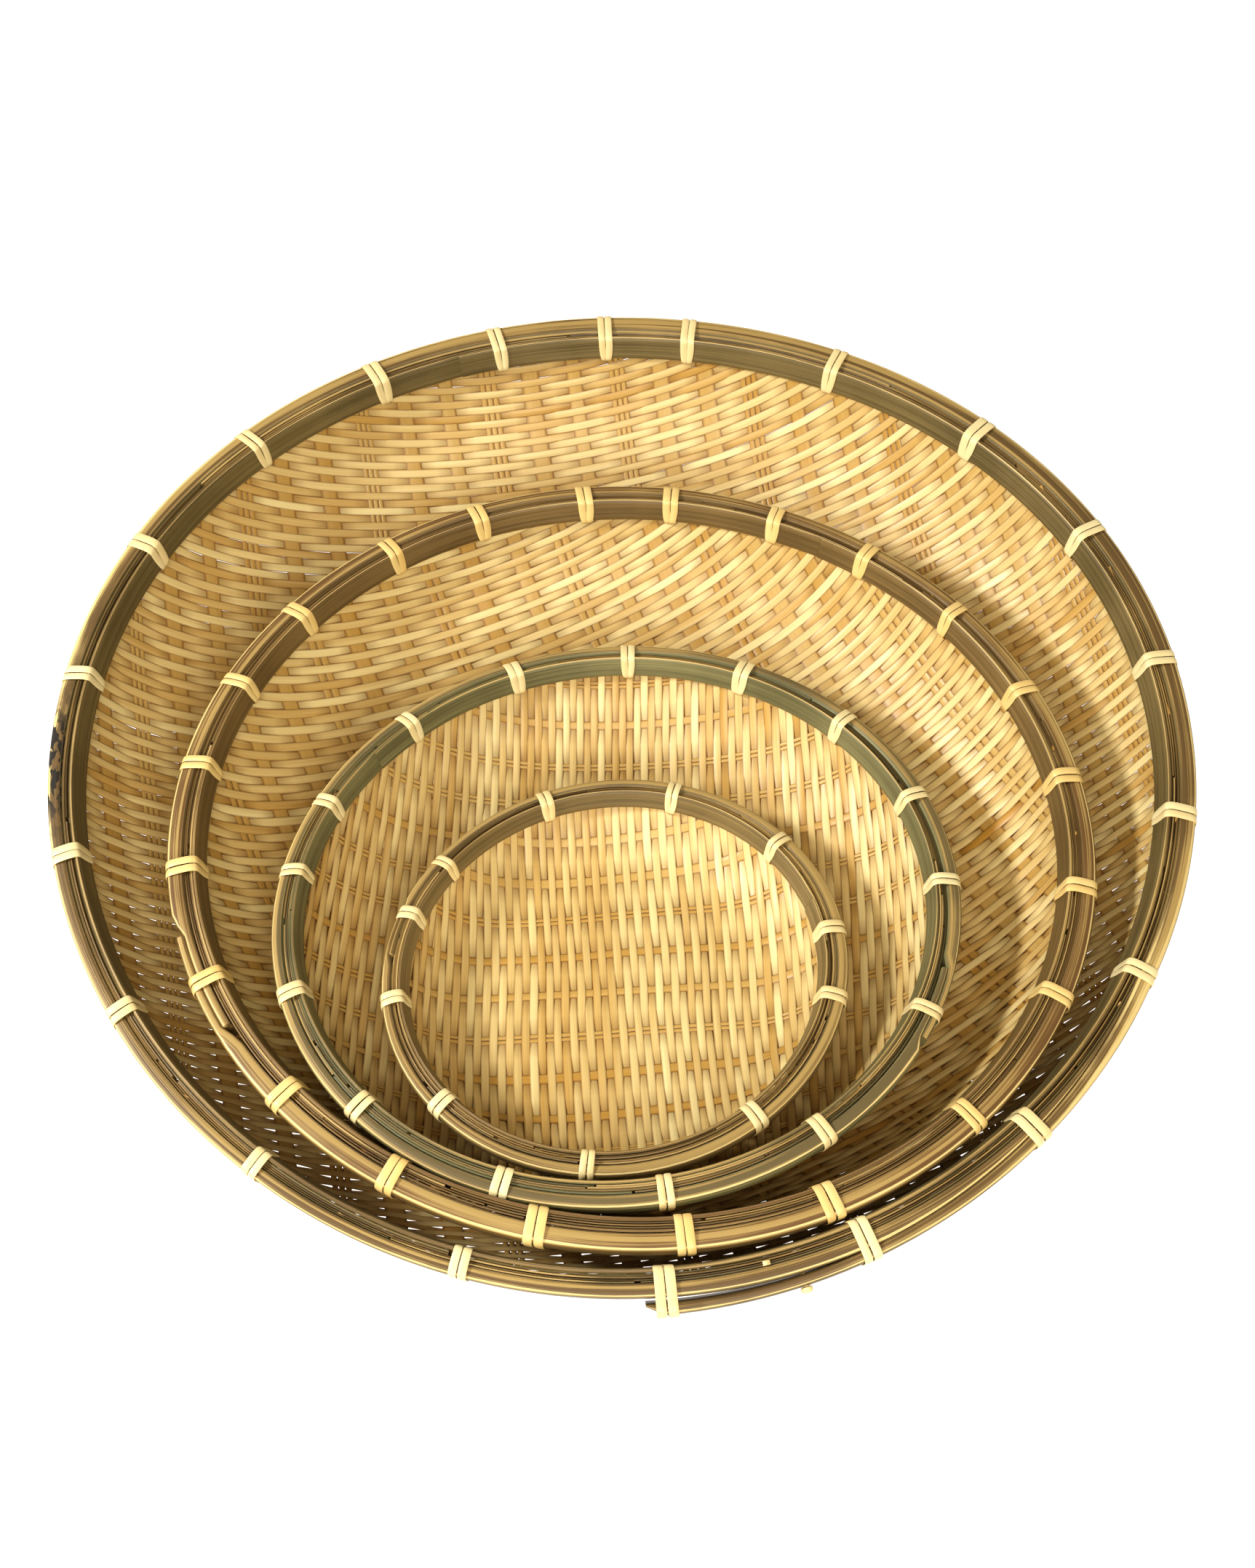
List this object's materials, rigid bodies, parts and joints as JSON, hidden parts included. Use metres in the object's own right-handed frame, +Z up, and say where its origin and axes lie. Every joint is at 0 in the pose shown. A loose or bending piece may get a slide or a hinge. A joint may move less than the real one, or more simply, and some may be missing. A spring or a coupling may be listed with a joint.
{
  "type": "nest of winnowing baskets",
  "caption": "Nest of round, shallow trays woven from split bamboo, with double hoops and cane lacing round each rim; each smaller tray lifts out of the one below.",
  "frame": {"origin": "middle of the underside of the largest tray's floor, where the nest rests", "axes": "+Z up, -Y towards the front, where the smaller trays lie against the walls, +X to the right seen from the front"},
  "size_m": [0.6299, 0.6373, 0.1001],
  "materials": {
    "tray_1_weave": "natural",
    "tray_2_weave": "natural",
    "tray_3_weave": "natural",
    "tray_4_weave": "natural",
    "tray_1_hoops": "satin",
    "tray_2_hoops": "satin",
    "tray_3_hoops": "satin",
    "tray_4_hoops": "satin",
    "rim_filler": "natural",
    "tray_1_cane": "satin",
    "tray_2_cane": "satin",
    "tray_3_cane": "satin",
    "tray_4_cane": "satin",
    "pale_bamboo": "natural"
  },
  "bodies": {
    "tray_1": {"tray_1_inner_hoop": "tray_1_hoops", "tray_1_lacing_01": "tray_1_cane", "tray_1_lacing_02": "tray_1_cane", "tray_1_lacing_03": "tray_1_cane", "tray_1_lacing_04": "tray_1_cane", "tray_1_lacing_05": "tray_1_cane", "tray_1_lacing_06": "tray_1_cane", "tray_1_lacing_07": "tray_1_cane", "tray_1_lacing_08": "tray_1_cane", "tray_1_lacing_09": "tray_1_cane", "tray_1_lacing_10": "tray_1_cane", "tray_1_outer_hoop": "tray_1_hoops", "tray_1_rim_filler": "rim_filler", "tray_1_rim_wedge": "pale_bamboo", "tray_1_splice_peg": "pale_bamboo", "tray_1_woven_bowl": "tray_1_weave"},
    "tray_2": {"tray_2_inner_hoop": "tray_2_hoops", "tray_2_lacing_01": "tray_2_cane", "tray_2_lacing_02": "tray_2_cane", "tray_2_lacing_03": "tray_2_cane", "tray_2_lacing_04": "tray_2_cane", "tray_2_lacing_05": "tray_2_cane", "tray_2_lacing_06": "tray_2_cane", "tray_2_lacing_07": "tray_2_cane", "tray_2_lacing_08": "tray_2_cane", "tray_2_lacing_09": "tray_2_cane", "tray_2_lacing_10": "tray_2_cane", "tray_2_lacing_11": "tray_2_cane", "tray_2_outer_hoop": "tray_2_hoops", "tray_2_rim_filler": "rim_filler", "tray_2_woven_bowl": "tray_2_weave"},
    "tray_3": {"tray_3_inner_hoop": "tray_3_hoops", "tray_3_lacing_01": "tray_3_cane", "tray_3_lacing_02": "tray_3_cane", "tray_3_lacing_03": "tray_3_cane", "tray_3_lacing_04": "tray_3_cane", "tray_3_lacing_05": "tray_3_cane", "tray_3_lacing_06": "tray_3_cane", "tray_3_lacing_07": "tray_3_cane", "tray_3_lacing_08": "tray_3_cane", "tray_3_outer_hoop": "tray_3_hoops", "tray_3_rim_filler": "rim_filler", "tray_3_woven_bowl": "tray_3_weave"},
    "tray_4": {"tray_4_inner_hoop": "tray_4_hoops", "tray_4_lacing_01": "tray_4_cane", "tray_4_lacing_02": "tray_4_cane", "tray_4_lacing_03": "tray_4_cane", "tray_4_lacing_04": "tray_4_cane", "tray_4_lacing_05": "tray_4_cane", "tray_4_lacing_06": "tray_4_cane", "tray_4_outer_hoop": "tray_4_hoops", "tray_4_rim_filler": "rim_filler", "tray_4_woven_bowl": "tray_4_weave"}
  },
  "joints": [
    {"name": "tray_2_lift", "type": "slide", "parent": "tray_1", "child": "tray_2", "axis": [0, 0, 1], "range_m": [0, 0.12]},
    {"name": "tray_3_lift", "type": "slide", "parent": "tray_2", "child": "tray_3", "axis": [0, 0, 1], "range_m": [0, 0.11]},
    {"name": "tray_4_lift", "type": "slide", "parent": "tray_3", "child": "tray_4", "axis": [0, 0, 1], "range_m": [0, 0.1]}
  ]
}
